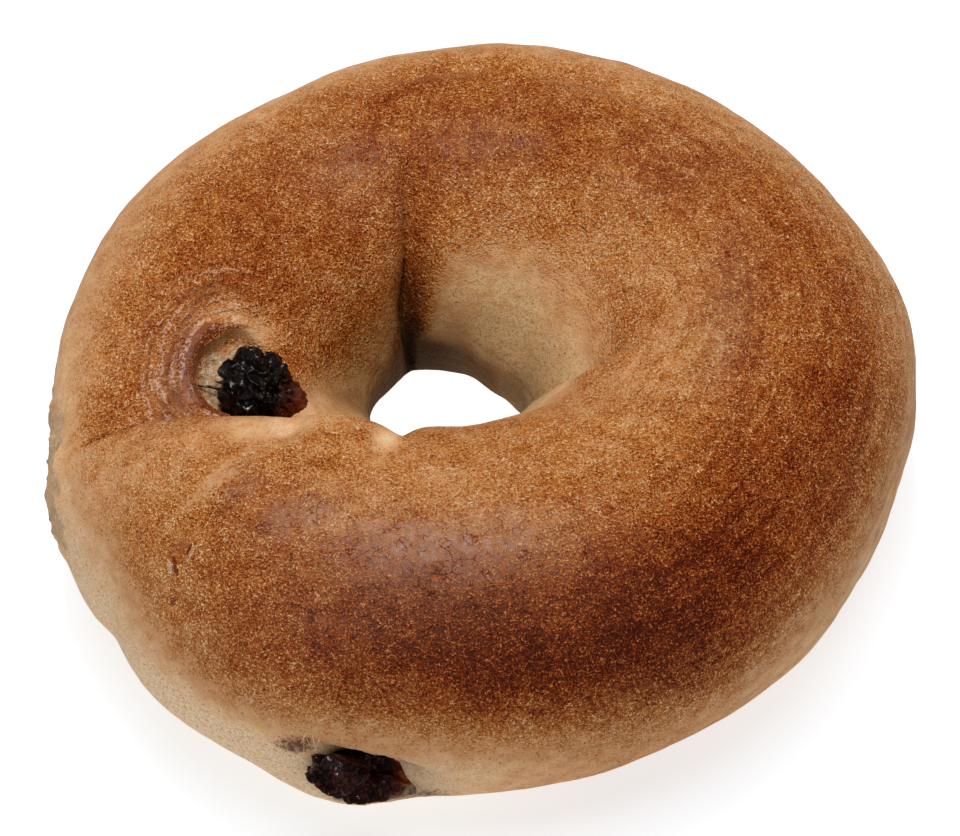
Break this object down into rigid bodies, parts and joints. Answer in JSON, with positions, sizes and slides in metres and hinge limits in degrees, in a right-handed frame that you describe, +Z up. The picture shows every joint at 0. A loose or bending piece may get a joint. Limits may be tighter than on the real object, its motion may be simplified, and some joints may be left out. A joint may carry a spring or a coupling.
{
  "type": "bagel",
  "caption": "Baked cinnamon raisin bagel: a hand-rolled ring of dough with one end lapped over the other, a round hole and raisins breaking through the crust.",
  "frame": {"origin": "middle of the base, on the surface that the bagel rests on", "axes": "+Z up through the hole, -Y towards the side with the lower raisin, +X to the right of it"},
  "size_m": [0.1092, 0.1088, 0.0401],
  "materials": {
    "crust": "baked crust, golden to dark brown, finely blistered, with a soft sheen on the crown and a pale, floury base and hole",
    "raisin": "wrinkled and glossy, near black with dark red-brown edges"
  },
  "bodies": {
    "root": {"dough": "crust", "raisin_top": "raisin", "raisin_side": "raisin"}
  },
  "joints": []
}
